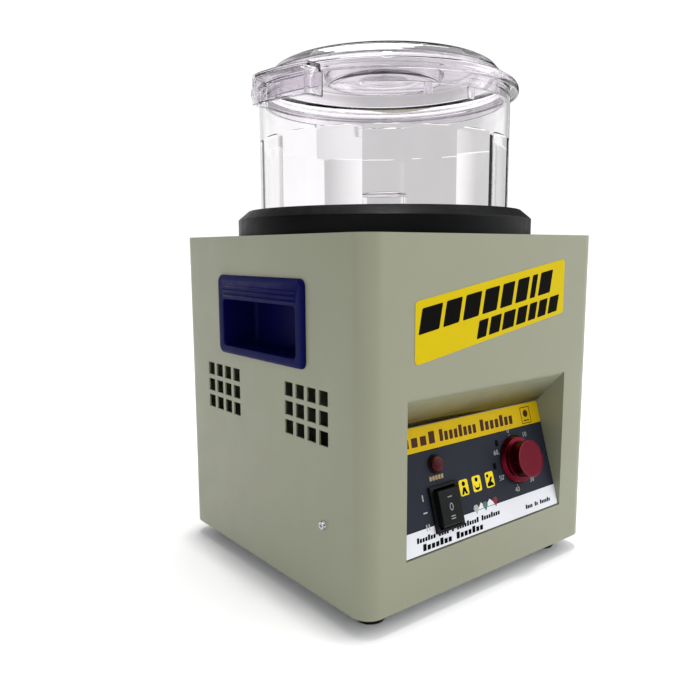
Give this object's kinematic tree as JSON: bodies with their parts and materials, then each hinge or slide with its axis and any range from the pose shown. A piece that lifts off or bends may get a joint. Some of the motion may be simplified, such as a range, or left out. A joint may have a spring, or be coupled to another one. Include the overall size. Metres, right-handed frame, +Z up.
{
  "type": "magnetic tumbler",
  "caption": "Bench-top magnetic tumbler with a square folded cabinet, round black seat, clear faceted bowl and lid, side cup handles and a sloping control panel.",
  "frame": {"origin": "on the floor under the centre of the cabinet, midway between the feet", "axes": "+Z up along the bowl's axis; -Y out of the front with the control recess; -X towards the lid's grip"},
  "size_m": [0.2292, 0.2345, 0.3676],
  "materials": {
    "cabinet": "satin olive-grey powder coat",
    "plated_steel": "zinc plated",
    "screw_steel": "bright zinc plated",
    "handle_plastic": "satin moulded",
    "seat_plastic": "satin moulded",
    "clear_plastic": "clear polycarbonate, polished",
    "overlay_film": "printed satin film",
    "label_film": "printed gloss film",
    "switch_plastic": "fine textured",
    "contact_brass": "tinned",
    "lamp_red": "moulded red lens",
    "knob_alloy": "crimson anodised, turned",
    "cream_plastic": "moulded",
    "cast_alloy": "die cast",
    "lamination": "stacked laminations",
    "copper": "varnished winding wire",
    "shaft_steel": "ground",
    "fan_plastic": "moulded",
    "disc_alloy": "turned",
    "magnet_nickel": "nickel plated",
    "white_plastic": "moulded",
    "wire_insulation": "flexible insulation in several colours",
    "fuse_glass": "glass with plated caps",
    "foot_rubber": "moulded"
  },
  "bodies": {
    "cabinet": {"cabinet_shell": "cabinet", "control_recess": "cabinet", "base_tray": "plated_steel", "rear_panel": "cabinet", "control_overlay": "overlay_film", "front_label": "label_film", "left_handle": "handle_plastic", "right_handle": "handle_plastic", "bowl_seat": "seat_plastic", "seat_screws": "screw_steel", "rocker_frame": "switch_plastic", "rocker_terminals": "contact_brass", "lamp_body": "switch_plastic", "lamp_lens": "lamp_red", "lamp_nut": "screw_steel", "timer_case": "cream_plastic", "timer_nut": "screw_steel", "motor_bracket": "plated_steel", "bracket_pillars": "screw_steel", "bracket_screws": "screw_steel", "upper_end_bell": "cast_alloy", "lower_end_bell": "cast_alloy", "stator_core": "lamination", "stator_windings": "copper", "upper_bearing": "shaft_steel", "lower_bearing": "shaft_steel", "motor_tie_bolts": "screw_steel", "motor_mount_screws": "screw_steel", "run_capacitor": "white_plastic", "capacitor_clamp": "plated_steel", "terminal_block": "cream_plastic", "wiring": "wire_insulation", "power_inlet": "switch_plastic", "inlet_pins": "screw_steel", "inlet_screws": "screw_steel", "case_screws": "screw_steel", "rear_panel_screws": "screw_steel", "foot_front_left": "foot_rubber", "foot_front_right": "foot_rubber", "foot_rear_left": "foot_rubber", "foot_rear_right": "foot_rubber", "foot_screws": "screw_steel", "earth_stud": "contact_brass"},
    "bowl": {"bowl": "clear_plastic"},
    "lid": {"lid": "clear_plastic"},
    "knob": {"timer_knob": "knob_alloy", "knob_set_screw": "screw_steel", "timer_spindle": "shaft_steel"},
    "rocker": {"rocker_paddle": "switch_plastic"},
    "rotor": {"rotor_core": "lamination", "motor_shaft": "shaft_steel", "cooling_fan": "fan_plastic", "magnet_disc": "disc_alloy", "magnets": "magnet_nickel", "disc_set_screw": "screw_steel"},
    "fuse_carrier": {"fuse_drawer": "switch_plastic", "fuse": "fuse_glass"}
  },
  "joints": [
    {"name": "bowl_lift", "type": "slide", "parent": "cabinet", "child": "bowl", "axis": [0, 0, 1], "range_m": [0, 0.06]},
    {"name": "lid_lift", "type": "slide", "parent": "bowl", "child": "lid", "axis": [0, 0, 1], "range_m": [0, 0.06]},
    {"name": "knob_turn", "type": "hinge", "parent": "cabinet", "child": "knob", "pos_m": [0.0418, -0.09936, 0.08146], "axis": [0, -0.9578, 0.2874], "range_deg": [-300, 0]},
    {"name": "rocker_tilt", "type": "hinge", "parent": "cabinet", "child": "rocker", "pos_m": [-0.0365, -0.10264, 0.06532], "axis": [1, 0, 0], "range_deg": [-11, 11]},
    {"name": "rotor_spin", "type": "hinge", "parent": "cabinet", "child": "rotor", "pos_m": [0, 0, 0.2], "axis": [0, 0, 1], "continuous": true},
    {"name": "fuse_drawer_slide", "type": "slide", "parent": "cabinet", "child": "fuse_carrier", "axis": [0, 1, 0], "range_m": [0, 0.018]}
  ]
}
